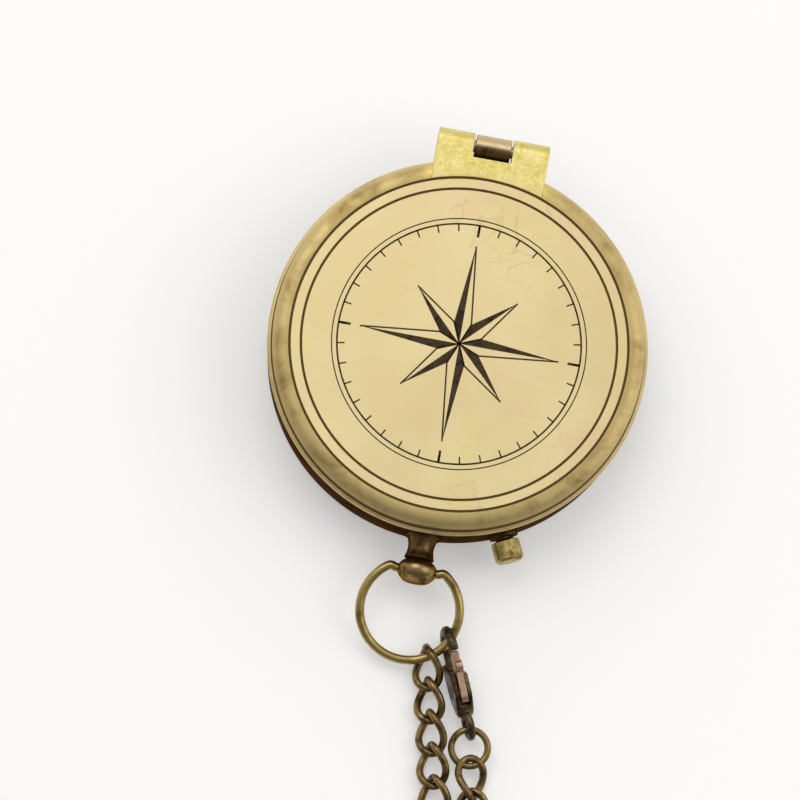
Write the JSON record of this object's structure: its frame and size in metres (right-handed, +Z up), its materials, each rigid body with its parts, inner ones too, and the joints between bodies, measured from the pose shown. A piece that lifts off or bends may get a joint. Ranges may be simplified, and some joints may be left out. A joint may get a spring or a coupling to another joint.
{
  "type": "pocket compass",
  "caption": "Round brass pocket compass with a hinged lid, a push button, a magnetic needle under glass, and a bail ring carrying a curb chain with a lobster clasp.",
  "frame": {"origin": "centre of the case's flat bottom", "axes": "+Z up through the lid, +Y towards the lid's hinge, -Y towards the stem, the bail ring and the chain"},
  "size_m": [0.0614, 0.139, 0.0125],
  "materials": {
    "case_brass": "dark patina, satin",
    "lid_brass": "pale brushed brass",
    "leaf_brass": "satin yellow brass",
    "stem_brass": "worn brass",
    "trim_brass": "satin brass",
    "steel": "brushed steel",
    "dial_enamel": "matt ivory enamel",
    "needle_steel": "blued steel",
    "crystal_glass": "clear glass",
    "ring_brass": "antique brass wire",
    "clasp_bronze": "dark antique bronze",
    "lever_bronze": "rubbed copper brass",
    "chain_brass": "antique brass wire"
  },
  "bodies": {
    "case": {"case": "case_brass", "case_knuckle": "case_brass", "hinge_pin": "steel", "dial_plate": "dial_enamel", "dial_ring": "trim_brass", "pivot_pin": "steel", "crystal": "crystal_glass", "crystal_ring": "trim_brass", "stem": "stem_brass", "button_bush": "stem_brass", "button_spring": "steel"},
    "lid": {"lid": "lid_brass", "lid_leaf": "leaf_brass", "lid_catch": "lid_brass"},
    "needle": {"needle_blade": "needle_steel", "needle_cap": "trim_brass"},
    "button": {"release_button": "stem_brass"},
    "bail": {"bail_ring": "ring_brass"},
    "chain_near": {"clasp_body": "clasp_bronze", "clasp_rivet": "steel", "clasp_spring": "steel", "jump_ring": "ring_brass", "chain_link_01": "chain_brass", "chain_link_02": "chain_brass", "chain_link_03": "chain_brass", "chain_link_04": "chain_brass", "chain_link_05": "chain_brass", "chain_link_06": "chain_brass", "chain_link_34": "chain_brass", "chain_link_35": "chain_brass", "chain_link_36": "chain_brass"},
    "chain_mid": {"chain_link_07": "chain_brass", "chain_link_08": "chain_brass", "chain_link_09": "chain_brass", "chain_link_10": "chain_brass", "chain_link_11": "chain_brass", "chain_link_12": "chain_brass", "chain_link_28": "chain_brass", "chain_link_29": "chain_brass", "chain_link_30": "chain_brass", "chain_link_31": "chain_brass", "chain_link_32": "chain_brass", "chain_link_33": "chain_brass"},
    "chain_far": {"chain_link_13": "chain_brass", "chain_link_14": "chain_brass", "chain_link_15": "chain_brass", "chain_link_16": "chain_brass", "chain_link_17": "chain_brass", "chain_link_18": "chain_brass", "chain_link_19": "chain_brass", "chain_link_20": "chain_brass", "chain_link_21": "chain_brass", "chain_link_22": "chain_brass", "chain_link_23": "chain_brass", "chain_link_24": "chain_brass", "chain_link_25": "chain_brass", "chain_link_26": "chain_brass", "chain_link_27": "chain_brass"},
    "lever": {"clasp_lever": "lever_bronze"}
  },
  "joints": [
    {"name": "lid_hinge", "type": "hinge", "parent": "case", "child": "lid", "pos_m": [0, 0.0268, 0.0107], "axis": [-1, 0, 0], "range_deg": [0, 110]},
    {"name": "button_press", "type": "slide", "parent": "case", "child": "button", "axis": [-0.4163, 0.9092, 0], "range_m": [0, 0.00045], "stiffness_N_per_m": 400, "springref_m": -0.0006, "deforming": ["button_spring"]},
    {"name": "needle_spin", "type": "hinge", "parent": "case", "child": "needle", "pos_m": [0, 0, 0.0046], "axis": [0, 0, 1], "continuous": true},
    {"name": "bail_swing", "type": "hinge", "parent": "case", "child": "bail", "pos_m": [0, -0.0293, 0.0047], "axis": [-1, 0, 0], "range_deg": [0, 95]},
    {"name": "chain_swing", "type": "hinge", "parent": "bail", "child": "chain_near", "pos_m": [0.00462, -0.03875, 0.00234], "axis": [-0.7156, -0.6777, -0.169], "range_deg": [-30, 30]},
    {"name": "chain_fold_near", "type": "hinge", "parent": "chain_near", "child": "chain_mid", "pos_m": [0.01159, -0.06473, 0.00136], "axis": [-0.9861, 0.159, -0.0486], "range_deg": [-3, 30]},
    {"name": "chain_fold_far", "type": "hinge", "parent": "chain_mid", "child": "chain_far", "pos_m": [0.01679, -0.08577, 0.00123], "axis": [-0.9866, -0.1633, 0], "range_deg": [-20, 20]},
    {"name": "lever_open", "type": "hinge", "parent": "chain_near", "child": "lever", "pos_m": [0.00874, -0.04416, 0.00342], "axis": [-0.9072, -0.4074, 0.1044], "range_deg": [0, 25], "stiffness_Nm_per_rad": 0.002, "springref_deg": -20.05}
  ]
}
